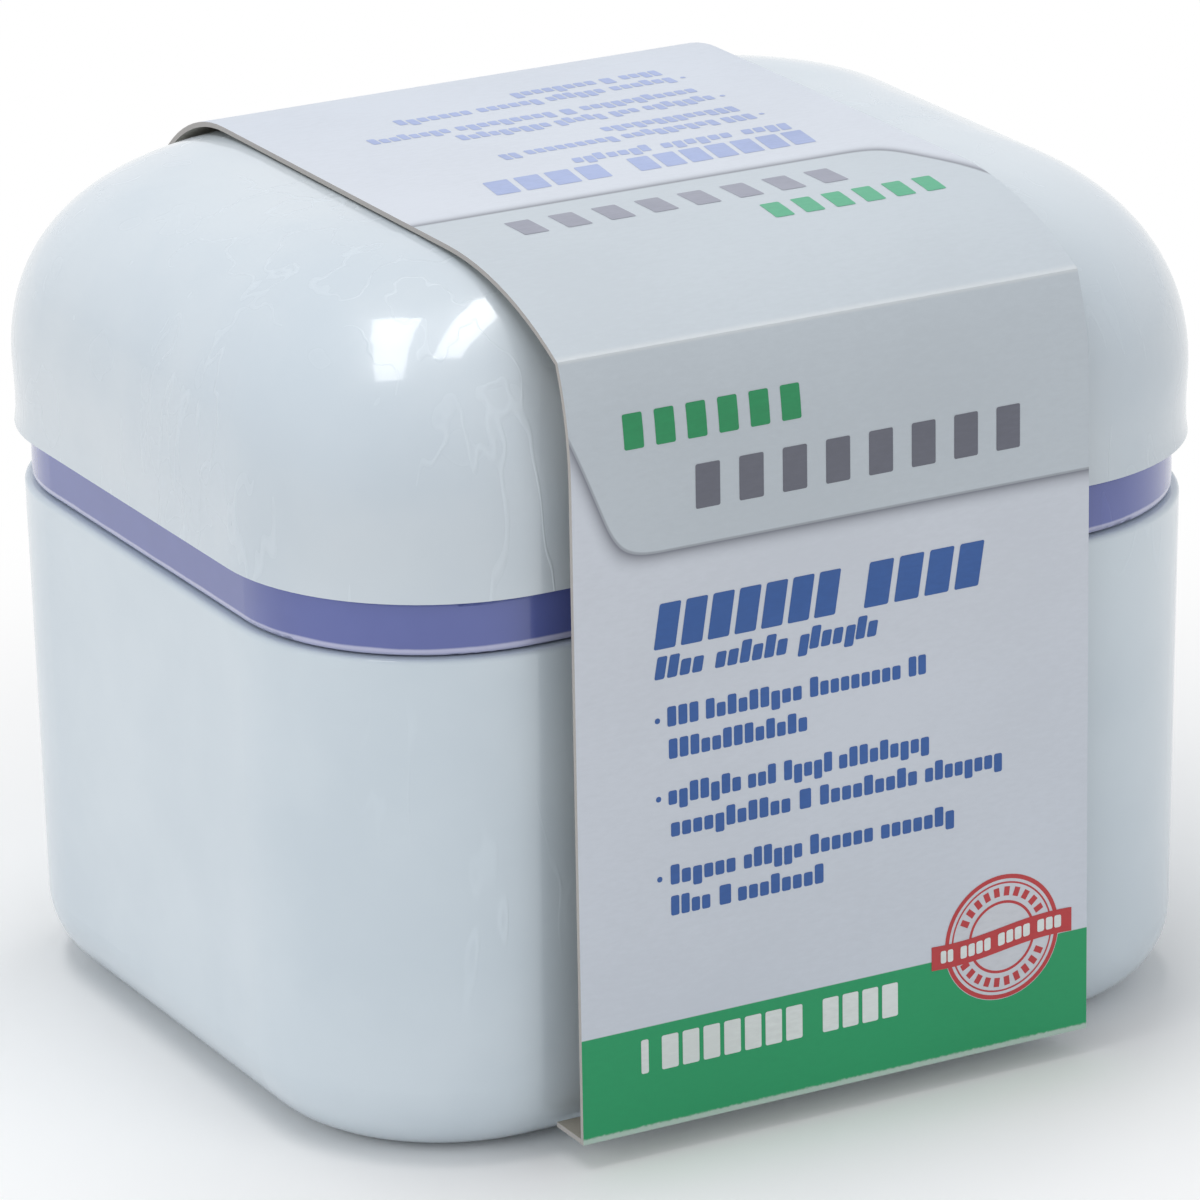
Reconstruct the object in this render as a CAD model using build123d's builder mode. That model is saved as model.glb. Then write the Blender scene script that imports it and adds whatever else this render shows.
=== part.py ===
from build123d import *
import math
import os

# A denture bath: a rounded tub, a lifting strainer basket whose collar shows as a
# coloured band, a domed lid hinged at the rear, a bail handle and a printed card sleeve.
# Millimetres, +Z up, +X to the right, the front faces -Y.
# The origin is the centre of the tub's flat base.

# Tub
tub_width = 90.4
tub_depth = 76.0
tub_height = 46.0
tub_corner = 18.7
tub_draft = 0.9
tub_wall = 1.8
tub_floor = 2.0
tub_bottom_radius = 7.0
tub_inner_radius = 5.4
rim_round = 0.5

# Basket: its collar is the band between tub and lid
collar_height = 4.8
collar_inset = 0.7
collar_wall = 1.8
collar_round = 0.5
seat_gap = 0.15
cup_gap = 0.3
cup_wall = 1.5
cup_floor = 1.8
cup_clearance_below = 7.0
cup_draft = 7.5
cup_bottom_radius = 5.0
cup_inner_radius = 3.5
slot_width = 3.0
slot_pitch = 7.6
wall_slot_length = 24.0
front_slots = 7
side_slots = 5
floor_slots = 7
floor_slot_length = 36.0

# Lid
lid_gap = 0.25
lid_wall = 1.2
lid_side_gap = 0.2
lid_shoulder = 18.6
lid_skirt = 6.0
lid_top_corner = 12.6
lid_levels = 8
dome_power = 0.9
pad_width = 8.0
pad_depth = 2.0
pad_height = 2.0
pad_spread = 40.0
thumb_width = 18.0
thumb_reach = 1.4
thumb_height = 2.4

# Hinge at the rear
knuckle_radius = 2.6
hinge_setback = 1.4
hinge_rise = 3.3
pin_radius = 1.0
pin_clearance = 0.06
lid_knuckle_length = 24.0
ear_width = 4.0
ear_gap = 0.3
ear_drop = 11.8
web_root = 0.5
pin_overhang = 0.3

# Bail handle
bail_width = 3.0
bail_thickness = 2.4
bail_gap = 0.4
bail_boss_radius = 2.1
bail_pin_radius = 1.2
bail_pin_clearance = 0.05
bail_pin_reach = 1.0
bail_hole_extra = 0.2
bail_drop = 2.6
grip_length = 26.0
grip_width = 6.5
grip_round = 1.5

# Card sleeve
card = 0.45
sleeve_width = 50.2
sleeve_top_gap = 0.2
sleeve_front_gap = 2.45
crease_lean = 2.0
crease_drop = 5.2
bend_start = 0.4
panel_bow = 15.5
sleeve_flap = 4.7
sleeve_base = 2.3
sleeve_tail_gap = 0.35
sleeve_tail_rise = 5.4
sleeve_rear_fill = 2.0

# What follows from the sizes above
collar_base = tub_height + seat_gap
collar_top = collar_base + collar_height
lid_edge = collar_top + lid_gap
lid_top = lid_edge + lid_skirt + lid_shoulder
lid_inset = lid_wall + lid_side_gap

tub_mouth_width = tub_width - 2 * tub_wall
tub_mouth_depth = tub_depth - 2 * tub_wall
tub_mouth_corner = tub_corner - tub_wall

collar_width = tub_width - 2 * collar_inset
collar_depth = tub_depth - 2 * collar_inset
collar_corner = tub_corner - collar_inset
collar_bore_width = collar_width - 2 * collar_wall
collar_bore_depth = collar_depth - 2 * collar_wall
collar_bore_corner = collar_corner - collar_wall

cup_width = tub_mouth_width - 2 * cup_gap
cup_depth = tub_mouth_depth - 2 * cup_gap
cup_corner = tub_mouth_corner - cup_gap
cup_base = tub_floor + cup_clearance_below
wall_slot_centre = (cup_base + collar_base) / 2

lid_width = collar_width + 2 * lid_inset
lid_depth = collar_depth + 2 * lid_inset
lid_corner = collar_corner + lid_inset

hinge_y = lid_depth / 2 + hinge_setback + pin_radius
hinge_z = tub_height + hinge_rise
bail_z = collar_top - bail_drop

sleeve_top = lid_top + sleeve_top_gap + card
sleeve_front = lid_depth / 2 + sleeve_front_gap + card
tail_y = lid_depth / 2 + sleeve_tail_gap + card
tail_radius = lid_shoulder + sleeve_tail_gap + card - sleeve_rear_fill


def tapered_block(top, base, width, depth, corner, draft, radius):
    """A rounded block that narrows downward and is rounded at its foot."""
    with BuildPart() as block:
        with BuildSketch(Plane.XY.offset(top)):
            RectangleRounded(width, depth, corner)
        extrude(amount=base - top, taper=draft)
        fillet(block.faces().sort_by(Axis.Z)[0].edges(), radius)
    return block.part


def lid_sections(skin):
    """Rounded outlines of the full dome, drawn in by skin from the outer face."""
    levels = [(lid_edge, 0.0)]
    spring = lid_edge + lid_skirt
    for step in range(lid_levels + 1):
        turn = math.radians(90.0 * step / lid_levels)
        rise = (lid_shoulder - skin) * math.sin(turn) ** dome_power
        draw = (lid_shoulder - skin) * (1.0 - math.cos(turn) ** dome_power)
        levels.append((spring + rise, draw))
    loss = (lid_corner - lid_top_corner) / lid_shoulder
    for height, draw in levels:
        corner = lid_corner - skin - loss * draw
        with BuildSketch(Plane.XY.offset(height)) as outline:
            RectangleRounded(
                lid_width - 2 * (skin + draw), lid_depth - 2 * (skin + draw), corner
            )
        yield outline.sketch


tub_body = tapered_block(
    tub_height, 0, tub_width, tub_depth, tub_corner, tub_draft, tub_bottom_radius
)
tub_space = tapered_block(
    tub_height,
    tub_floor,
    tub_mouth_width,
    tub_mouth_depth,
    tub_mouth_corner,
    tub_draft,
    tub_inner_radius,
)

with BuildPart() as tub:
    add(tub_body)
    add(tub_space, mode=Mode.SUBTRACT)
    fillet(tub.faces().sort_by(Axis.Z)[-1].edges(), rim_round)
    # Two ears at the rear carry the hinge pin.
    root = tub_depth / 2 - web_root
    inner_x = lid_knuckle_length / 2 + ear_gap
    with BuildSketch(Plane.YZ.offset(inner_x)) as ear:
        with BuildLine():
            Polyline(
                (root, hinge_z - ear_drop),
                (hinge_y + knuckle_radius, hinge_z),
                (hinge_y - knuckle_radius, hinge_z),
                (hinge_y - knuckle_radius, tub_height - rim_round),
                (root, tub_height - rim_round),
                close=True,
            )
        make_face()
        with Locations((hinge_y, hinge_z)):
            Circle(knuckle_radius)
            Circle(pin_radius, mode=Mode.SUBTRACT)
    extrude(amount=ear_width)
    with BuildSketch(Plane.YZ.offset(-inner_x)):
        add(ear.sketch_local)
    extrude(amount=-ear_width)
tub.part.label = "tub"

with BuildPart() as hinge_pin:
    pin_length = lid_knuckle_length + 2 * (ear_gap + ear_width + pin_overhang)
    with BuildSketch(Plane.YZ.offset(-pin_length / 2)):
        with Locations((hinge_y, hinge_z)):
            Circle(pin_radius)
    extrude(amount=pin_length)
    fillet(hinge_pin.edges().filter_by(GeomType.CIRCLE), pin_overhang / 2)
hinge_pin.part.label = "hinge_pin"

cup_body = tapered_block(
    collar_base + collar_round,
    cup_base,
    cup_width,
    cup_depth,
    cup_corner,
    cup_draft,
    cup_bottom_radius,
)
cup_space = tapered_block(
    collar_base + collar_round,
    cup_base + cup_floor,
    cup_width - 2 * cup_wall,
    cup_depth - 2 * cup_wall,
    cup_corner - cup_wall,
    cup_draft,
    cup_inner_radius,
)

with BuildPart() as basket:
    # Collar on the tub's rim.
    with BuildSketch(Plane.XY.offset(collar_base)):
        RectangleRounded(collar_width, collar_depth, collar_corner)
    extrude(amount=collar_height)
    fillet(basket.faces().sort_by(Axis.Z)[-1].edges(), collar_round)
    fillet(basket.faces().sort_by(Axis.Z)[0].edges(), collar_round)
    # Cup hanging inside the tub, open through the collar.
    add(cup_body)
    with BuildSketch(Plane.XY.offset(collar_base)):
        RectangleRounded(collar_bore_width, collar_bore_depth, collar_bore_corner)
    extrude(amount=collar_height, mode=Mode.SUBTRACT)
    add(cup_space, mode=Mode.SUBTRACT)
    # Strainer slots: front and rear, both sides, and the floor.
    with BuildSketch(Plane.XZ):
        with Locations((0, wall_slot_centre)):
            with GridLocations(slot_pitch, 1, front_slots, 1):
                SlotOverall(wall_slot_length, slot_width, rotation=90)
    extrude(amount=collar_depth, both=True, mode=Mode.SUBTRACT)
    with BuildSketch(Plane.YZ):
        with Locations((0, wall_slot_centre)):
            with GridLocations(slot_pitch, 1, side_slots, 1):
                SlotOverall(wall_slot_length, slot_width, rotation=90)
    extrude(amount=collar_width, both=True, mode=Mode.SUBTRACT)
    with BuildSketch(Plane.XY.offset(cup_base)):
        with GridLocations(slot_pitch, 1, floor_slots, 1):
            SlotOverall(floor_slot_length, slot_width, rotation=90)
    extrude(amount=cup_floor, mode=Mode.SUBTRACT)
    # Blind sockets for the bail's pins.
    socket_reach = collar_bore_width / 2 + bail_pin_reach + bail_hole_extra
    with BuildSketch(Plane.YZ):
        with Locations((0, bail_z)):
            Circle(bail_pin_radius + bail_pin_clearance)
    extrude(amount=socket_reach, both=True, mode=Mode.SUBTRACT)
basket.part.label = "basket"

with BuildPart() as basket_handle:
    bail_base = bail_z - bail_thickness / 2
    with BuildSketch(Plane.XY.offset(bail_base)):
        bail_half = collar_bore_width / 2 - bail_gap
        bail_reach = collar_bore_depth / 2 - bail_gap
        bail_corner = collar_bore_corner - bail_gap
        RectangleRounded(2 * bail_half, 2 * bail_reach, bail_corner)
        RectangleRounded(
            2 * (bail_half - bail_width),
            2 * (bail_reach - bail_width),
            bail_corner - bail_width,
            mode=Mode.SUBTRACT,
        )
        with Locations((0, bail_reach)):
            Rectangle(4 * bail_half, 2 * bail_reach, mode=Mode.SUBTRACT)
        with Locations((0, grip_width / 2 - bail_reach)):
            RectangleRounded(grip_length, grip_width, grip_round)
    extrude(amount=bail_thickness)
    # Round bosses at the ends of the arms, with a pin on each outer face.
    with BuildSketch(Plane.YZ.offset(bail_half - bail_width)) as boss:
        with Locations((0, bail_z)):
            Circle(bail_boss_radius)
    extrude(amount=bail_width)
    with BuildSketch(Plane.YZ.offset(bail_width - bail_half)):
        add(boss.sketch_local)
    extrude(amount=-bail_width)
    pin_run = bail_gap + bail_pin_reach
    with BuildSketch(Plane.YZ.offset(bail_half)) as bail_pin:
        with Locations((0, bail_z)):
            Circle(bail_pin_radius)
    extrude(amount=pin_run)
    with BuildSketch(Plane.YZ.offset(-bail_half)):
        add(bail_pin.sketch_local)
    extrude(amount=-pin_run)
basket_handle.part.label = "basket_handle"

with BuildPart() as lid:
    loft(sections=list(lid_sections(0.0)))
    loft(sections=list(lid_sections(lid_wall)), mode=Mode.SUBTRACT)
    # Pads inside the front edge rest on the collar, rooted in half the wall.
    pad_run = pad_depth + lid_wall / 2
    with BuildSketch(Plane.XY.offset(lid_edge)):
        with Locations((0, (lid_wall + pad_run - lid_depth) / 2)):
            with GridLocations(pad_spread, 1, 2, 1):
                Rectangle(pad_width, pad_run)
    extrude(amount=pad_height)
    # Thumb lip at the middle of the front edge.
    with BuildSketch(Plane.XY.offset(lid_edge)):
        with Locations((0, lid_wall / 2 - thumb_reach / 2 - lid_depth / 2)):
            Rectangle(thumb_width, thumb_reach + lid_wall)
    extrude(amount=thumb_height)
    # Knuckle at the rear, joined to the skirt by a sloping web.
    with BuildSketch(Plane.YZ.offset(-lid_knuckle_length / 2)):
        with BuildLine():
            Polyline(
                (lid_depth / 2 - web_root, lid_edge),
                (lid_depth / 2 - web_root, lid_edge + lid_skirt),
                (hinge_y + knuckle_radius, hinge_z),
                (hinge_y - knuckle_radius, hinge_z),
                close=True,
            )
        make_face()
        with Locations((hinge_y, hinge_z)):
            Circle(knuckle_radius)
            Circle(pin_radius + pin_clearance, mode=Mode.SUBTRACT)
    extrude(amount=lid_knuckle_length)
lid.part.label = "lid"

with BuildPart() as sleeve:
    crease = (crease_lean - sleeve_front, sleeve_top - crease_drop)
    flat_end = (lid_shoulder - lid_depth / 2 - bend_start, sleeve_top)
    panel_top = (-sleeve_front, sleeve_top - panel_bow)
    with BuildSketch(Plane.YZ.offset(-sleeve_width / 2)):
        with BuildLine():
            tail_foot = (tail_y, lid_edge + sleeve_tail_rise)
            tail = Line(tail_foot, (tail_y, sleeve_top - tail_radius))
            shoulder = RadiusArc(tail @ 1, (tail_y - tail_radius, sleeve_top), -tail_radius)
            flat = Line(shoulder @ 1, flat_end)
            bend = TangentArc(flat @ 1, crease, tangent=flat % 1)
            panel = Line(panel_top, (-sleeve_front, sleeve_base))
            lean = TangentArc(panel @ 0, crease, tangent=(0, 1))
            foot = Line(panel @ 1, (sleeve_flap - sleeve_front, sleeve_base))
            offset(amount=card, side=Side.LEFT)
        make_face()
    extrude(amount=sleeve_width)
sleeve.part.label = "sleeve"

pieces = (tub, hinge_pin, basket, basket_handle, lid, sleeve)

os.makedirs("parts", exist_ok=True)
for piece in pieces:
    export_step(piece.part, f"parts/{piece.part.label}.step")
    box = piece.part.bounding_box()
    print(f"{piece.part.label}: {box.size.X:.2f} x {box.size.Y:.2f} x {box.size.Z:.2f}")
print(f"hinge at y {hinge_y:.3f}, z {hinge_z:.3f}; bail at z {bail_z:.3f}")
print(f"collar {collar_base:.2f} to {collar_top:.2f}; lid {lid_edge:.2f} to {lid_top:.2f}")
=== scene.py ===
"""The finishes, the printed card, the floor, the lamps and the camera of a denture bath."""

import math
import random
from collections import namedtuple

import bmesh
import bpy
from mathutils import Matrix, Vector


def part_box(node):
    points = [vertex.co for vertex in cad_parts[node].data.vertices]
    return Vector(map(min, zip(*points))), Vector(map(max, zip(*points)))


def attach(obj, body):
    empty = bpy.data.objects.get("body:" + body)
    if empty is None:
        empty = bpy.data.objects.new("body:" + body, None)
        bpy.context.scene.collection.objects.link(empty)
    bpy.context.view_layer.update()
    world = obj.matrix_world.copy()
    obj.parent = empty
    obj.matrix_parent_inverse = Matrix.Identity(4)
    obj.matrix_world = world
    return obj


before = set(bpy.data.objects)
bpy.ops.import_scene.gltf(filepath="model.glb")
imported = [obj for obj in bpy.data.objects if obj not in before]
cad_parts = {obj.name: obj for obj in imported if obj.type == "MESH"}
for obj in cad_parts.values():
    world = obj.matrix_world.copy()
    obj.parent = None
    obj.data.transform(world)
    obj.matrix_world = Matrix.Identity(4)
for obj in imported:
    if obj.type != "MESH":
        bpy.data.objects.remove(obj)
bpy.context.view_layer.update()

MM = 0.001


def arc_radius(run, offset):
    """The radius of an arc that leaves a straight line and strays by offset over a run."""
    return (run**2 + offset**2) / (2 * offset)


# The outer face of the card sleeve, in millimetres. Its front stands upright up to LEAN_FOOT
# and leans back from there to the crease, where its top comes down from BOW_START. LOWER_FOLD
# is the height of the fold to the bottom flap, and CARD_MIDDLE is a height inside the wrap.
card_low, card_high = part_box("sleeve")
FRONT_FACE = card_low.y / MM
TOP_FACE = card_high.z / MM
CREASE_LEAN = 2.0
CREASE_DROP = 5.2
LEAN_DROP = 15.5
BOW_START = -20.5
CREASE_BACK = FRONT_FACE + CREASE_LEAN
CREASE_HEIGHT = TOP_FACE - CREASE_DROP
LEAN_FOOT = TOP_FACE - LEAN_DROP
LEAN_RADIUS = arc_radius(CREASE_HEIGHT - LEAN_FOOT, CREASE_LEAN)
BOW_RADIUS = arc_radius(BOW_START - CREASE_BACK, CREASE_DROP)
LOWER_FOLD = 2.8
CARD_MIDDLE = 38.0

# The band is the basket's collar. Its foot, just above the tub's rim, is paler, and the rest
# of the basket below is not.
PALE_FOOT_DROP = 4.1
PALE_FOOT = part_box("basket")[1].z / MM - PALE_FOOT_DROP
PALE_FOOT_FADE = 0.22
PALE_FOOT_END = (1.2, 2.0)

# The print, in millimetres to the right of the card's middle and above the floor. The same
# print lies on the top panel, turned half round, at TOP_PRINT_SHIFT less its height.
TOP_PRINT_SHIFT = 39.6
STRIP_TOP = 11.8
POCKET_LINE = 53.9
POCKET_CORNER = (-22.2, 57.7)
POCKET_SLANT = (0.925, 0.38)
POCKET_ROUND = 4.2
POCKET_SHADOW = 1.9
INK_LIFT = 0.02

# Blocks of ink that stand for letters. Luck from 0 to 1 makes some of them taller or deeper,
# by a share of the row's height.
ROW_HEIGHT = 1.2
BLOCK_CORNER = 0.16
DOT_CORNER = 0.2
TALLER = 0.42
TALL_LUCK = 0.68
FIRST_TALL_LUCK = 0.4
DEEPER = 0.35
DEEP_LUCK = 0.1

TEXT_SEED = 3
HEADING_ROW = (45.4, 49.4)
HEADING_PITCH = 2.75
HEADING_SLANT = 0.16
HEADING = [(-17.6, 0.4), (2.7, 14.6)]
UNDER_HEADING_ROW = (42.75, 44.15)
UNDER_HEADING_PITCH = 1.15
UNDER_HEADING_SLANT = 0.18
UNDER_HEADING = [(-17.6, -12.8), (-11.8, -4.7), (-3.8, 4.1)]
LINE_HEIGHT = 1.25
LINE_PITCH = 1.05
DOT = (-17.6, -17.1)
DOT_RISE = (0.45, 0.95)

# The lines of text: height of the foot, whether a dot leads it, and the span of each word.
LINES = [
    (38.4, True, [(-16.4, -13.2), (-12.7, -3.2), (-2.6, 6.5), (7.1, 9.0)]),
    (35.5, False, [(-16.3, -2.7)]),
    (31.4, True, [(-16.4, -9.2), (-8.7, -5.8), (-5.2, -0.3), (0.2, 9.3)]),
    (28.5, False, [(-16.2, -4.4), (-3.7, -2.3), (-1.7, 8.1), (8.7, 16.6)]),
    (24.2, True, [(-16.3, -9.8), (-9.2, -3.3), (-2.7, 3.7), (4.3, 11.8)]),
    (21.4, False, [(-16.3, -12.3), (-11.6, -10.2), (-9.8, -1.2)]),
]

STRIP_SEED = 5
STRIP_ROW = (7.6, 10.7)
STRIP_PITCH = 2.0
STRIP_WORDS = [(-19.4, -18.5), (-17.4, -3.2), (-1.6, 6.3)]

# A row of plain blocks: its span, its height, the pitch of its blocks, the share of the pitch
# that a block covers, and the seed of its draws.
SignRow = namedtuple("SignRow", "span row pitch cover seed")
GREEN_SIGN = SignRow((-20.0, -2.0), (63.3, 66.3), 3.0, 0.62, 2)
GREY_SIGN = SignRow((-13.4, 20.0), (57.1, 61.0), 4.15, 0.56, 8)

# The round badge, with a wavy bar across its middle.
BADGE_MIDDLE = (16.4, 12.7)
BADGE_RADIUS = 5.8
BADGE_SIDES = 72
BADGE_RINGS = [(5.35, 5.75), (4.92, 5.08), (3.1, 3.35)]
BEADS = 26
BEAD_RADIUS = 4.2
BEAD_HALF_WIDTH = 0.28
BEAD_HALF_HEIGHT = 0.42
BEAD_FREE_SINE = 0.3
BAR_HALF_LENGTH = 7.1
BAR_HALF_HEIGHT = 1.1
BAR_DROP = 0.2
BAR_STEPS = 28
BAR_WAVE = 0.33
BAR_WAVE_LENGTH = 18.33
BAR_TILT = 0.03
BAR_SEED = 11
BAR_ROW = (-0.75, 0.4)
BAR_PITCH = 0.78
BAR_WORDS = [(10.2, 11.6), (12.2, 15.4), (16.0, 19.4), (20.0, 22.6)]

# The floor, in metres. It turns white from SWEEP_START to SWEEP_END off the part's middle.
FLOOR_HALF = 4.0
FLOOR_DROP = 0.1 * MM
SWEEP_START = 0.045
SWEEP_END = 0.14

# The camera, in degrees, and in millimetres in the part's frame.
CAMERA_SIDE = -28.45
CAMERA_RISE = 19.37
CAMERA_ROLL = -1.01
CAMERA_TARGET = (0.04, 0.17, 34.10)
CAMERA_DISTANCE = 676.84
CAMERA_LENS = 227.34
CAMERA_SENSOR = 36.0


def srgb(red, green, blue):
    """A colour of the object, given as it shows on a screen, 0 to 255."""
    out = []
    for level in (red, green, blue):
        level = level / 255.0
        out.append(level / 12.92 if level <= 0.04045 else ((level + 0.055) / 1.055) ** 2.4)
    return (*out, 1.0)


# Helpers for shader nodes.

# A Mix node has a set of sockets for each kind of value. These are the places of its share, its
# two numbers and its two colours, and of the number or the colour that it gives.
MIX_SHARE = 0
MIX_NUMBERS = (2, 3)
MIX_COLOURS = (6, 7)
MIXED_NUMBER = 0
MIXED_COLOUR = 2


def put(tree, kind, **settings):
    """A new node of a kind, with its settings."""
    node = tree.nodes.new(kind)
    for name, value in settings.items():
        setattr(node, name, value)
    return node


def feed(tree, source, target):
    """Joins a socket, or writes a plain value, into a target socket."""
    if isinstance(source, bpy.types.NodeSocket):
        tree.links.new(source, target)
    else:
        target.default_value = source


def reckon(tree, operation, *terms, clamp=False):
    """The result of one sum on sockets or plain numbers."""
    node = put(tree, "ShaderNodeMath", operation=operation, use_clamp=clamp)
    for socket, term in zip(node.inputs, terms):
        feed(tree, term, socket)
    return node.outputs[0]


def plus(tree, first, second, clamp=False):
    return reckon(tree, "ADD", first, second, clamp=clamp)


def minus(tree, first, second, clamp=False):
    return reckon(tree, "SUBTRACT", first, second, clamp=clamp)


def times(tree, first, second):
    return reckon(tree, "MULTIPLY", first, second)


def unsigned(tree, number):
    """A number without its sign."""
    return reckon(tree, "ABSOLUTE", number)


def ramp(tree, value, low, high, start=0.0, end=1.0, smooth=True):
    """Turns value from low to high into start to end."""
    node = put(tree, "ShaderNodeMapRange", interpolation_type="SMOOTHSTEP" if smooth else "LINEAR")
    feed(tree, value, node.inputs["Value"])
    for name, number in (("From Min", low), ("From Max", high), ("To Min", start), ("To Max", end)):
        feed(tree, number, node.inputs[name])
    return node.outputs["Result"]


def tint(tree, share, under, over, blend="MIX"):
    """A colour laid over another by a share."""
    node = put(tree, "ShaderNodeMix", data_type="RGBA", blend_type=blend)
    feed(tree, share, node.inputs[MIX_SHARE])
    for place, colour in zip(MIX_COLOURS, (under, over)):
        feed(tree, colour, node.inputs[place])
    return node.outputs[MIXED_COLOUR]


def either(tree, share, first, second):
    """The first number where share is 0, and the second where it is 1."""
    node = put(tree, "ShaderNodeMix", data_type="FLOAT")
    feed(tree, share, node.inputs[MIX_SHARE])
    for place, number in zip(MIX_NUMBERS, (first, second)):
        feed(tree, number, node.inputs[place])
    return node.outputs[MIXED_NUMBER]


def split(tree, vector):
    """The three numbers of a vector."""
    node = put(tree, "ShaderNodeSeparateXYZ")
    feed(tree, vector, node.inputs[0])
    return node.outputs


def noise(tree, vector, scale, detail=3.0, roughness=0.5):
    """Soft noise at so many waves to the metre."""
    node = put(tree, "ShaderNodeTexNoise")
    feed(tree, vector, node.inputs["Vector"])
    feed(tree, scale, node.inputs["Scale"])
    node.inputs["Detail"].default_value = detail
    node.inputs["Roughness"].default_value = roughness
    return node.outputs["Fac"]


def stretched(tree, vector, scale):
    """Coordinates scaled by a factor of their own along each axis; returns the node."""
    node = put(tree, "ShaderNodeMapping")
    feed(tree, vector, node.inputs["Vector"])
    node.inputs["Scale"].default_value = scale
    return node


def group(name, inputs, outputs):
    """A new shader group with its named sockets; returns tree, way in and way out."""
    tree = bpy.data.node_groups.new(name, "ShaderNodeTree")
    for label, kind, value in inputs:
        socket = tree.interface.new_socket(label, in_out="INPUT", socket_type=kind)
        if value is not None:
            socket.default_value = value
    for label, kind in outputs:
        tree.interface.new_socket(label, in_out="OUTPUT", socket_type=kind)
    way_in = put(tree, "NodeGroupInput").outputs
    way_out = put(tree, "NodeGroupOutput").inputs
    return tree, way_in, way_out


def use(tree, shared, **values):
    """Places a shader group in a material with its values; returns its outputs."""
    node = put(tree, "ShaderNodeGroup", node_tree=shared)
    for name, value in values.items():
        feed(tree, value, node.inputs[name])
    return node.outputs


# Effects that more than one finish uses.
NUMBER = "NodeSocketFloat"
COLOUR = "NodeSocketColor"
SPOT = "NodeSocketVector"


def moulding_grain():
    """Cloudy colour, uneven gloss and the faint ripple of moulded plastic."""
    tree, way_in, way_out = group(
        "moulding_grain",
        [
            ("Spot", SPOT, None),
            ("Light", COLOUR, None),
            ("Dark", COLOUR, None),
            ("Gloss", NUMBER, 0.3),
            ("Spread", NUMBER, 0.08),
        ],
        [("Colour", COLOUR), ("Roughness", NUMBER), ("Height", NUMBER)],
    )
    cloud = noise(tree, way_in["Spot"], scale=38.0, detail=4.0, roughness=0.55)
    speck = noise(tree, way_in["Spot"], scale=900.0, detail=2.0)
    ripple = noise(tree, way_in["Spot"], scale=120.0, detail=2.0)
    clouded = ramp(tree, cloud, low=0.35, high=0.68)
    feed(tree, tint(tree, clouded, way_in["Light"], way_in["Dark"]), way_out["Colour"])
    uneven = times(tree, minus(tree, ripple, 0.45), way_in["Spread"])
    feed(tree, plus(tree, way_in["Gloss"], uneven), way_out["Roughness"])
    height = plus(tree, times(tree, speck, 0.12), times(tree, ripple, 0.5))
    feed(tree, height, way_out["Height"])
    return tree


def pulled_creases():
    """Thin winding creases, gathered in a few patches; the moulded finishes paint a paler sheen along
    them.
    """
    tree, way_in, way_out = group(
        "pulled_creases",
        [("Spot", SPOT, None), ("Density", NUMBER, 0.5), ("Slant", NUMBER, 0.5)],
        [("Mask", NUMBER)],
    )
    lay = stretched(tree, way_in["Spot"], scale=(190.0, 190.0, 42.0))
    turn = put(tree, "ShaderNodeCombineXYZ")
    for axis in ("Y", "Z"):
        feed(tree, way_in["Slant"], turn.inputs[axis])
    feed(tree, turn.outputs[0], lay.inputs["Rotation"])
    fold = noise(tree, lay.outputs[0], scale=1.0, detail=2.0, roughness=0.45)
    thin = ramp(tree, unsigned(tree, minus(tree, fold, 0.52)), low=0.016, high=0.002)
    patch = noise(tree, way_in["Spot"], scale=48.0, detail=2.0)
    bare = minus(tree, 0.72, times(tree, way_in["Density"], 0.3))
    near = ramp(tree, patch, low=bare, high=plus(tree, bare, 0.16))
    feed(tree, times(tree, thin, near), way_out["Mask"])
    return tree


def board_fibre():
    """Fine paper fibre: a little colour change and a short soft tooth."""
    tree, way_in, way_out = group(
        "board_fibre",
        [("Spot", SPOT, None), ("Base", COLOUR, None), ("Depth", NUMBER, 0.06)],
        [("Colour", COLOUR), ("Height", NUMBER)],
    )
    lay = stretched(tree, way_in["Spot"], scale=(900.0, 2600.0, 2600.0))
    fibre = noise(tree, lay.outputs[0], scale=1.0, detail=3.0, roughness=0.6)
    cloud = noise(tree, way_in["Spot"], scale=45.0)
    both = plus(tree, times(tree, fibre, 0.4), times(tree, cloud, 0.6))
    shade = ramp(tree, both, low=0.35, high=0.65, start=minus(tree, 1.0, way_in["Depth"]), end=1.0)
    grey = put(tree, "ShaderNodeCombineColor")
    for socket in grey.inputs[:3]:
        feed(tree, shade, socket)
    feed(tree, tint(tree, 1.0, way_in["Base"], grey.outputs[0], "MULTIPLY"), way_out["Colour"])
    feed(tree, fibre, way_out["Height"])
    return tree


# The finishes. Each has its material, its node tree, its shader and its coordinates.
Finish = namedtuple("Finish", "material tree shader places")


def new_finish(name):
    """An empty material with its shader and its coordinates."""
    material = bpy.data.materials.new(name)
    material.use_nodes = True
    tree = material.node_tree
    tree.nodes.clear()
    end = put(tree, "ShaderNodeOutputMaterial")
    shader = put(tree, "ShaderNodeBsdfPrincipled")
    tree.links.new(shader.outputs[0], end.inputs["Surface"])
    return Finish(material, tree, shader, put(tree, "ShaderNodeTexCoord").outputs)


def raise_surface(finish, height, depth):
    """Bumps the surface by a height that varies over it; depth is in metres."""
    bump = put(finish.tree, "ShaderNodeBump")
    bump.inputs["Distance"].default_value = depth
    bump.inputs["Strength"].default_value = 0.5
    feed(finish.tree, height, bump.inputs["Height"])
    finish.tree.links.new(bump.outputs[0], finish.shader.inputs["Normal"])


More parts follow.
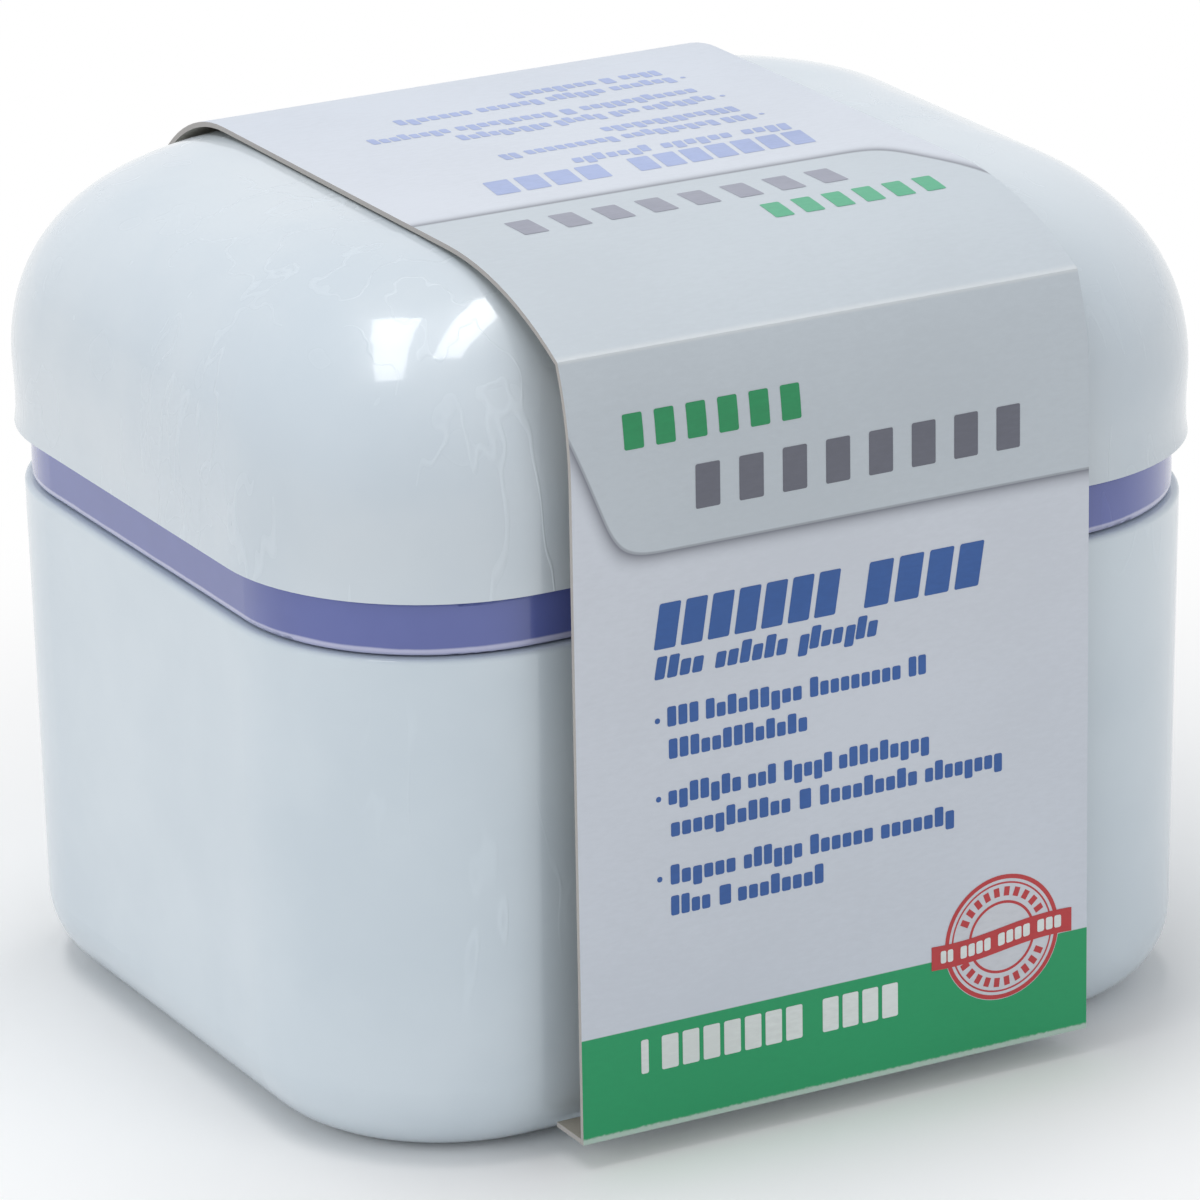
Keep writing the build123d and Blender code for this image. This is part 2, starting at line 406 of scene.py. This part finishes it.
def moulded_finish(name, grain, creases, light, dark, gloss, crease_density, slant):
    """Satin-gloss moulded plastic with soft clouding and a few thin creases, painted paler along their
    lines as a sheen.
    """
    finish = new_finish(name)
    tree = finish.tree
    sockets = finish.shader.inputs
    spot = finish.places["Object"]
    plastic = use(tree, grain, Spot=spot, Light=light, Dark=dark, Gloss=gloss)
    creases_and_sheen = use(tree, creases, Spot=spot, Density=crease_density, Slant=slant)["Mask"]
    # Painted sheen: the creases are drawn paler than the plastic, as if they caught the light.
    pale = tuple(min(1.0, level * 1.12) for level in light[:3]) + (1.0,)
    feed(tree, tint(tree, times(tree, creases_and_sheen, 0.3), plastic["Colour"], pale), sockets["Base Color"])
    dulled = plus(tree, plastic["Roughness"], times(tree, creases_and_sheen, 0.18))
    feed(tree, dulled, sockets["Roughness"])
    sockets["IOR"].default_value = 1.47
    sockets["Coat Weight"].default_value = 0.7
    sockets["Coat Roughness"].default_value = 0.06
    height = plus(tree, plastic["Height"], times(tree, creases_and_sheen, 1.6))
    raise_surface(finish, height, depth=0.03 * MM)
    return finish


def band_finish(grain, creases):
    """Violet-blue plastic whose lowest edge is a pale lavender."""
    deep = srgb(98, 109, 176)
    deeper = srgb(86, 97, 164)
    lavender = srgb(190, 192, 222)
    finish = moulded_finish(
        "band_plastic", grain, creases, deep, deeper, gloss=0.24, crease_density=0.3, slant=0.4)
    tree = finish.tree
    spot = finish.places["Object"]
    up = split(tree, spot)["Z"]
    wavy = times(tree, noise(tree, spot, scale=160.0), 0.3 * MM)
    foot = ramp(tree, plus(tree, up, wavy), (PALE_FOOT + PALE_FOOT_FADE) * MM, PALE_FOOT * MM)
    near, far = PALE_FOOT_END
    collar = ramp(tree, up, (PALE_FOOT - far) * MM, (PALE_FOOT - near) * MM)
    base = finish.shader.inputs["Base Color"]
    plain = base.links[0].from_socket
    feed(tree, tint(tree, times(tree, foot, collar), plain, lavender), base)
    return finish


def print_places(finish):
    """How far right and how far up in the print a spot of the card is, in millimetres.

    Also returns a mask that is 1 on the top panel, where the print is turned half round.
    """
    tree = finish.tree
    across, along, up = split(tree, finish.places["Object"])
    low = (CREASE_BACK - 0.02) * MM
    high = (CREASE_BACK + 0.02) * MM
    is_top = ramp(tree, along, low, high, smooth=False)
    turned = minus(tree, 1.0, times(tree, is_top, 2.0))
    print_x = times(tree, times(tree, across, turned), 1 / MM)
    up_the_top = minus(tree, TOP_PRINT_SHIFT * MM, along)
    print_z = times(tree, either(tree, is_top, up, up_the_top), 1 / MM)
    return print_x, print_z, is_top


def printed_colour(tree, print_x, print_z, is_top):
    """Pale ground, a pocket with one slanted, rounded corner, and the green foot strip."""
    corner_x, corner_z = POCKET_CORNER
    slant_x, slant_z = POCKET_SLANT
    level = minus(tree, print_z, POCKET_LINE)
    slant = plus(
        tree,
        times(tree, minus(tree, print_x, corner_x), slant_x),
        times(tree, minus(tree, print_z, corner_z), slant_z),
    )
    pocket = reckon(tree, "SMOOTH_MIN", level, slant, POCKET_ROUND)
    inside = ramp(tree, pocket, -0.06, 0.06)
    outside = minus(tree, 1.0, inside)
    fading = ramp(tree, pocket, -POCKET_SHADOW, 0.0, smooth=False)
    shadow = times(tree, reckon(tree, "POWER", fading, 2.6), outside)
    rim = ramp(tree, unsigned(tree, minus(tree, pocket, 0.05)), 0.22, 0.06)
    rim = times(tree, rim, ramp(tree, pocket, -0.1, 0.0))
    strip = ramp(tree, print_z, STRIP_TOP + 0.05, STRIP_TOP - 0.05)
    strip = times(tree, strip, minus(tree, 1.0, is_top))

    rising = ramp(tree, print_z, STRIP_TOP + 0.2, POCKET_LINE + 0.1)
    colour = tint(tree, rising, srgb(216, 222, 232), srgb(219, 224, 233))
    colour = tint(tree, inside, colour, srgb(203, 211, 218))
    colour = tint(tree, times(tree, shadow, 0.8), colour, srgb(88, 90, 104))
    colour = tint(tree, times(tree, rim, 0.5), colour, srgb(120, 122, 132))
    return tint(tree, strip, colour, srgb(38, 160, 104))


def worn_folds(finish):
    """Whitened fibres along the lower fold and the crease."""
    tree = finish.tree
    spot = finish.places["Object"]
    _, along, up = split(tree, spot)
    height = times(tree, up, 1 / MM)
    fray = times(tree, noise(tree, spot, scale=2600.0), 0.3)
    low = ramp(tree, plus(tree, height, fray), LOWER_FOLD + 0.25, LOWER_FOLD)
    crease = ramp(tree, unsigned(tree, minus(tree, height, CREASE_HEIGHT)), 0.35, 0.05)
    front = ramp(tree, times(tree, along, -1 / MM), 30.0, 36.0)
    creased = times(tree, times(tree, crease, front), 0.45)
    return plus(tree, times(tree, low, 0.6), creased, clamp=True)


def card_finish(fibre):
    """Coated board: print outside, grey board inside, and pale raw edges."""
    finish = new_finish("printed_card")
    tree = finish.tree
    sockets = finish.shader.inputs
    spot = finish.places["Object"]
    _, along, up = split(tree, spot)
    lean_x, lean_y, lean_z = split(tree, finish.places["Normal"])

    # The outside faces away from the middle of the box, and a cut edge faces left or right.
    above = minus(tree, up, CARD_MIDDLE * MM)
    outward = plus(tree, times(tree, lean_y, along), times(tree, lean_z, above))
    outer = ramp(tree, outward, 0.0, 0.001, smooth=False)
    cut = ramp(tree, unsigned(tree, lean_x), 0.4, 0.6, smooth=False)

    colour = printed_colour(tree, *print_places(finish))
    colour = tint(tree, worn_folds(finish), colour, srgb(232, 235, 236))
    colour = tint(tree, outer, srgb(176, 171, 160), colour)
    colour = tint(tree, cut, colour, srgb(184, 180, 176))
    board = use(tree, fibre, Spot=spot, Base=colour, Depth=0.05)
    feed(tree, board["Colour"], sockets["Base Color"])
    coated = minus(tree, outer, cut, clamp=True)
    dullness = ramp(tree, coated, 0.0, 1.0, start=0.85, end=0.42)
    patchy = times(tree, noise(tree, spot, scale=70.0), 0.12)
    feed(tree, plus(tree, dullness, patchy), sockets["Roughness"])
    sockets["IOR"].default_value = 1.45
    raise_surface(finish, board["Height"], depth=0.02 * MM)
    return finish


def ink_finish(name, colour, fibre):
    """A printed ink film on coated board."""
    finish = new_finish(name)
    tree = finish.tree
    spot = finish.places["Object"]
    board = use(tree, fibre, Spot=spot, Base=colour, Depth=0.12)
    feed(tree, board["Colour"], finish.shader.inputs["Base Color"])
    dullness = ramp(tree, noise(tree, spot, scale=300.0), 0.3, 0.7, start=0.42, end=0.5)
    feed(tree, dullness, finish.shader.inputs["Roughness"])
    raise_surface(finish, board["Height"], depth=0.01 * MM)
    return finish.material


# The print on the card.


def front_place(x, z, lift=0.0):
    """A print point on the front panel, straight or leaning, lift further off the card."""
    y = FRONT_FACE
    if z > LEAN_FOOT:
        y += LEAN_RADIUS - math.sqrt(LEAN_RADIUS**2 - (z - LEAN_FOOT) ** 2)
    return Vector((x, y - INK_LIFT - lift, z)) * MM


def top_place(x, z):
    """The same print point turned half round onto the top panel."""
    y = TOP_PRINT_SHIFT - z
    height = TOP_FACE
    if y < BOW_START:
        height += math.sqrt(BOW_RADIUS**2 - (y - BOW_START) ** 2) - BOW_RADIUS
    return Vector((-x, y, height + INK_LIFT)) * MM


def ink_block(shape, place, span, row, slant=0.0, corner=BLOCK_CORNER):
    """One soft-cornered block of ink, in rows so that it follows a curved panel."""
    left, right = span
    low, high = row
    tall = high - low
    corner = min(corner, 0.45 * tall, 0.45 * (right - left))
    bevel = 0.3 * corner
    steps = max(1, round(tall / ROW_HEIGHT))
    middle = [corner + (tall - 2 * corner) * step / steps for step in range(1, steps)]
    rows = [(0.0, corner), (bevel, bevel), (corner, 0.0)]
    rows += [(rise, 0.0) for rise in middle]
    rows += [(tall - corner, 0.0), (tall - bevel, bevel), (tall, corner)]
    last = None
    for rise, inset in rows:
        shift = slant * rise
        pair = (
            shape.verts.new(place(left + inset + shift, low + rise)),
            shape.verts.new(place(right - inset + shift, low + rise)),
        )
        if last:
            shape.faces.new((last[0], last[1], pair[1], pair[0]))
        last = pair


def ink_word(shape, place, span, row, pitch, chance, slant=0.0, tails=True, cover=0.8):
    """A plain stand-in for a word: a run of ink blocks without any letters.

    With tails, some blocks rise above the row, the first more often, and some reach below it.
    """
    left, right = span
    low, high = row
    count = max(1, round((right - left) / pitch))
    step = (right - left) / count
    for index in range(count):
        top = high
        foot = low
        luck = chance.random()
        if tails and (luck > TALL_LUCK or index == 0 and luck > FIRST_TALL_LUCK):
            top = high + (high - low) * TALLER
        elif tails and luck < DEEP_LUCK:
            foot = low - (high - low) * DEEPER
        start = left + index * step
        ink_block(shape, place, (start, start + step * cover), (foot, top), slant)


def sleeve_piece(shape, name, material):
    """Makes a piece of ink that rides on the card."""
    mesh = bpy.data.meshes.new(name)
    shape.to_mesh(mesh)
    shape.free()
    thing = bpy.data.objects.new(name, mesh)
    bpy.context.scene.collection.objects.link(thing)
    mesh.materials.append(material)
    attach(thing, "sleeve")


def text_blocks(place, name, material):
    """Heading, line under it and three two-line points, all as plain blocks."""
    chance = random.Random(TEXT_SEED)
    shape = bmesh.new()
    for span in HEADING:
        ink_word(shape, place, span, HEADING_ROW, HEADING_PITCH, chance, HEADING_SLANT, tails=False)
    for span in UNDER_HEADING:
        ink_word(shape, place, span, UNDER_HEADING_ROW, UNDER_HEADING_PITCH, chance, UNDER_HEADING_SLANT)
    for low, dotted, words in LINES:
        if dotted:
            ink_block(shape, place, DOT, [low + rise for rise in DOT_RISE], corner=DOT_CORNER)
        for span in words:
            ink_word(shape, place, span, (low, low + LINE_HEIGHT), LINE_PITCH, chance)
    sleeve_piece(shape, name, material)


def sign_blocks(place, name, sign, material):
    """A plain row of slim blocks at the head of the card."""
    chance = random.Random(sign.seed)
    shape = bmesh.new()
    ink_word(shape, place, sign.span, sign.row, sign.pitch, chance, tails=False, cover=sign.cover)
    sleeve_piece(shape, name, material)


def strip_blocks(material):
    """The blocks on the green strip."""
    chance = random.Random(STRIP_SEED)
    shape = bmesh.new()
    for span in STRIP_WORDS:
        ink_word(shape, front_place, span, STRIP_ROW, STRIP_PITCH, chance, tails=False)
    sleeve_piece(shape, "strip_blocks", material)


def circle(shape, radius, lift=0.0):
    """The corners of a circle round the badge's middle."""
    middle_x, middle_z = BADGE_MIDDLE
    corners = []
    for index in range(BADGE_SIDES):
        turn = 2 * math.pi * index / BADGE_SIDES
        x = middle_x + radius * math.cos(turn)
        z = middle_z + radius * math.sin(turn)
        corners.append(shape.verts.new(front_place(x, z, lift)))
    return corners


def badge_ground(material):
    """A pale disc that keeps the strip's green out of the badge, below its rings."""
    shape = bmesh.new()
    shape.faces.new(circle(shape, BADGE_RADIUS, -0.5 * INK_LIFT))
    sleeve_piece(shape, "badge_ground", material)


def badge_rings(material):
    """Three rings, and a ring of beads that leaves the bar's ends free."""
    middle_x, middle_z = BADGE_MIDDLE
    shape = bmesh.new()
    for inner_radius, outer_radius in BADGE_RINGS:
        inner = circle(shape, inner_radius)
        outer = circle(shape, outer_radius)
        for index in range(BADGE_SIDES):
            after = (index + 1) % BADGE_SIDES
            shape.faces.new((inner[index], outer[index], outer[after], inner[after]))
    for index in range(BEADS):
        turn = 2 * math.pi * index / BEADS
        ahead = Vector((-math.sin(turn), math.cos(turn)))
        out = Vector((math.cos(turn), math.sin(turn)))
        if abs(out.y) < BEAD_FREE_SINE:
            continue
        corners = []
        for along, across in ((-1, -1), (1, -1), (1, 1), (-1, 1)):
            reach = BEAD_RADIUS + across * BEAD_HALF_HEIGHT
            spot = reach * out + along * BEAD_HALF_WIDTH * ahead
            corners.append(shape.verts.new(front_place(middle_x + spot.x, middle_z + spot.y)))
        shape.faces.new(corners)
    sleeve_piece(shape, "badge_rings", material)


def bar_rise(x):
    """How far the badge's wavy bar stands above the badge's middle."""
    run = x - BADGE_MIDDLE[0]
    return BAR_WAVE * math.sin(2 * math.pi * run / BAR_WAVE_LENGTH) + BAR_TILT * run


def badge_bar(material):
    """The wavy bar, one ink film above the rings."""
    middle_x, middle_z = BADGE_MIDDLE
    shape = bmesh.new()
    last = None
    for index in range(BAR_STEPS + 1):
        x = middle_x + BAR_HALF_LENGTH * (2 * index / BAR_STEPS - 1)
        z = middle_z - BAR_DROP + bar_rise(x)
        pair = [
            shape.verts.new(front_place(x, z + side * BAR_HALF_HEIGHT, INK_LIFT))
            for side in (-1, 1)
        ]
        if last:
            shape.faces.new((last[0], pair[0], pair[1], last[1]))
        last = pair
    sleeve_piece(shape, "badge_bar", material)


def badge_bar_blocks(material):
    """The blocks on the wavy bar, one ink film above it."""
    middle_z = BADGE_MIDDLE[1]

    def bar_place(x, z):
        return front_place(x, z + bar_rise(x), 2 * INK_LIFT)

    chance = random.Random(BAR_SEED)
    shape = bmesh.new()
    for span in BAR_WORDS:
        row = [middle_z + rise for rise in BAR_ROW]
        ink_word(shape, bar_place, span, row, BAR_PITCH, chance, tails=False)
    sleeve_piece(shape, "badge_bar_blocks", material)


def print_the_card(fibre):
    """All the ink on the front and the top of the card. The top panel's inks are paler copies of the
    front's: painted glare, as if the top caught the light.
    """
    white = ink_finish("white_ink", srgb(234, 240, 238), fibre)
    red = ink_finish("red_ink", srgb(196, 62, 66), fibre)
    text_blocks(front_place, "front_text_blocks", ink_finish("blue_ink", srgb(54, 98, 168), fibre))
    # Painted glare: the top panel's blue is a paler copy of the front's blue.
    text_blocks(top_place, "top_text_blocks", ink_finish("glare_blue_ink", srgb(172, 186, 226), fibre))
    for place, name, sign, ink, colour in (
        (front_place, "front_sign_green_blocks", GREEN_SIGN, "green_ink", srgb(44, 150, 96)),
        (front_place, "front_sign_grey_blocks", GREY_SIGN, "grey_ink", srgb(112, 114, 126)),
        # Painted glare: paler copies of the front's green and grey for the top panel.
        (top_place, "top_sign_green_blocks", GREEN_SIGN, "glare_green_ink", srgb(92, 178, 140)),
        (top_place, "top_sign_grey_blocks", GREY_SIGN, "glare_grey_ink", srgb(158, 160, 174)),
    ):
        sign_blocks(place, name, sign, ink_finish(ink, colour, fibre))
    strip_blocks(white)
    badge_ground(ink_finish("pale_ink", srgb(216, 219, 226), fibre))
    badge_rings(red)
    badge_bar(red)
    badge_bar_blocks(white)


# The studio.


def seen_share(tree):
    """1 for rays that see the background, straight, in gloss or through glass, or else 0."""
    path = put(tree, "ShaderNodeLightPath").outputs
    seen = reckon(tree, "MAXIMUM", path["Is Camera Ray"], path["Is Glossy Ray"])
    return reckon(tree, "MAXIMUM", seen, path["Is Transmission Ray"])


def floor_finish():
    """Pale and dull under the object; away from it, the seen floor turns into a white sweep."""
    material = bpy.data.materials.new("pale_floor")
    material.use_nodes = True
    tree = material.node_tree
    shader = tree.nodes["Principled BSDF"]
    shader.inputs["Roughness"].default_value = 0.9
    shader.inputs["Specular IOR Level"].default_value = 0.0
    seen = seen_share(tree)
    pale = tint(tree, seen, (0.80, 0.80, 0.80, 1.0), (0.99, 0.99, 0.99, 1.0))
    feed(tree, pale, shader.inputs["Base Color"])
    reach = put(tree, "ShaderNodeVectorMath", operation="LENGTH")
    feed(tree, put(tree, "ShaderNodeTexCoord").outputs["Object"], reach.inputs[0])
    far = times(tree, ramp(tree, reach.outputs["Value"], SWEEP_START, SWEEP_END), seen)
    sweep = put(tree, "ShaderNodeEmission")
    both = put(tree, "ShaderNodeMixShader")
    feed(tree, far, both.inputs[0])
    tree.links.new(shader.outputs[0], both.inputs[1])
    tree.links.new(sweep.outputs[0], both.inputs[2])
    tree.links.new(both.outputs[0], tree.nodes["Material Output"].inputs["Surface"])
    return material


def studio_floor():
    """A wide pale floor, a hair below the tub's foot; it keeps the object's shadow."""
    shape = bmesh.new()
    bmesh.ops.create_grid(shape, x_segments=8, y_segments=8, size=FLOOR_HALF)
    mesh = bpy.data.meshes.new("studio_floor")
    shape.to_mesh(mesh)
    shape.free()
    mesh.materials.append(floor_finish())
    floor = bpy.data.objects.new("studio_floor", mesh)
    floor.location.z = -FLOOR_DROP
    bpy.context.scene.collection.objects.link(floor)


def studio_sky():
    """An even grey light, seen as a near white."""
    world = bpy.data.worlds.new("studio_sky")
    bpy.context.scene.world = world
    world.use_nodes = True
    tree = world.node_tree
    ground = tree.nodes["Background"]
    sky = tint(tree, seen_share(tree), (0.45, 0.46, 0.47, 1.0), (0.92, 0.94, 0.97, 1.0))
    feed(tree, sky, ground.inputs["Color"])
    ground.inputs["Strength"].default_value = 1.0


def lamp(name, place, aim, width, length, power, run=(0.0, 0.0, 1.0), mirrored=True):
    """A soft lamp at place, turned to aim, with its long side along run."""
    data = bpy.data.lights.new(name, "AREA")
    data.shape = "RECTANGLE"
    data.size = width
    data.size_y = length
    data.energy = power
    back = (Vector(place) - Vector(aim)).normalized()
    side = Vector(run).cross(back).normalized()
    stand = Matrix((side, back.cross(side), back)).transposed().to_4x4()
    stand.translation = Vector(place)
    thing = bpy.data.objects.new(name, data)
    thing.matrix_world = stand
    thing.visible_glossy = mirrored
    bpy.context.scene.collection.objects.link(thing)


def studio_lamps():
    """Two roof strips that mirror in the lid's near corner, and two dull fills."""
    corner = (-0.034, -0.029, 0.071)
    slanted = (0.62, 0.78, 0.0)
    middle = (0.0, 0.0, 0.04)
    lamp("roof_strip_left", (-0.160, 0.062, 0.650), corner, 0.11, 0.42, power=0.9, run=slanted)
    lamp("roof_strip_right", (0.060, 0.045, 0.665), corner, 0.10, 0.42, power=0.85, run=slanted)
    lamp("left_softbox", (-0.70, -0.12, 0.24), middle, 0.5, 0.5, power=1.2, mirrored=False)
    lamp("front_fill", (0.35, -0.75, 0.35), middle, 0.5, 0.5, power=0.95, mirrored=False)


def view_camera():
    """Stands where the photograph was taken from."""
    side, rise, roll = (math.radians(angle) for angle in (CAMERA_SIDE, CAMERA_RISE, CAMERA_ROLL))
    back = Vector((math.sin(side) * math.cos(rise), -math.cos(side) * math.cos(rise), math.sin(rise)))
    right = (-back).cross(Vector((0.0, 0.0, 1.0))).normalized()
    up = right.cross(-back)
    turned_right = math.cos(roll) * right + math.sin(roll) * up
    turned_up = -math.sin(roll) * right + math.cos(roll) * up
    data = bpy.data.cameras.new("view_camera")
    data.sensor_width = CAMERA_SENSOR
    data.lens = CAMERA_LENS
    data.clip_start = 0.01
    data.clip_end = 20.0
    stand = Matrix((turned_right, turned_up, back)).transposed().to_4x4()
    stand.translation = (Vector(CAMERA_TARGET) + back * CAMERA_DISTANCE) * MM
    camera = bpy.data.objects.new("view_camera", data)
    camera.matrix_world = stand
    bpy.context.scene.collection.objects.link(camera)
    bpy.context.scene.camera = camera


def finish_node(node, finish):
    """Gives one of the CAD's own pieces its finish."""
    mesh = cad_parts[node].data
    mesh.materials.clear()
    mesh.materials.append(finish.material)


grain = moulding_grain()
creases = pulled_creases()
fibre = board_fibre()

finish_node("tub", moulded_finish(
    "tub_plastic", grain, creases, light=srgb(217, 228, 236), dark=srgb(209, 221, 230),
    gloss=0.34, crease_density=0.35, slant=0.2))
finish_node("lid", moulded_finish(
    "lid_plastic", grain, creases, light=srgb(214, 223, 230), dark=srgb(205, 216, 225),
    gloss=0.26, crease_density=0.9, slant=0.7))
finish_node("hinge_pin", moulded_finish(
    "pin_plastic", grain, creases, light=srgb(208, 214, 220), dark=srgb(198, 205, 212),
    gloss=0.45, crease_density=0.2, slant=0.1))
band_plastic = band_finish(grain, creases)
finish_node("basket", band_plastic)
finish_node("basket_handle", band_plastic)
finish_node("sleeve", card_finish(fibre))
print_the_card(fibre)

studio_floor()
studio_sky()
studio_lamps()
view_camera()
bpy.context.scene.view_settings.view_transform = "Standard"
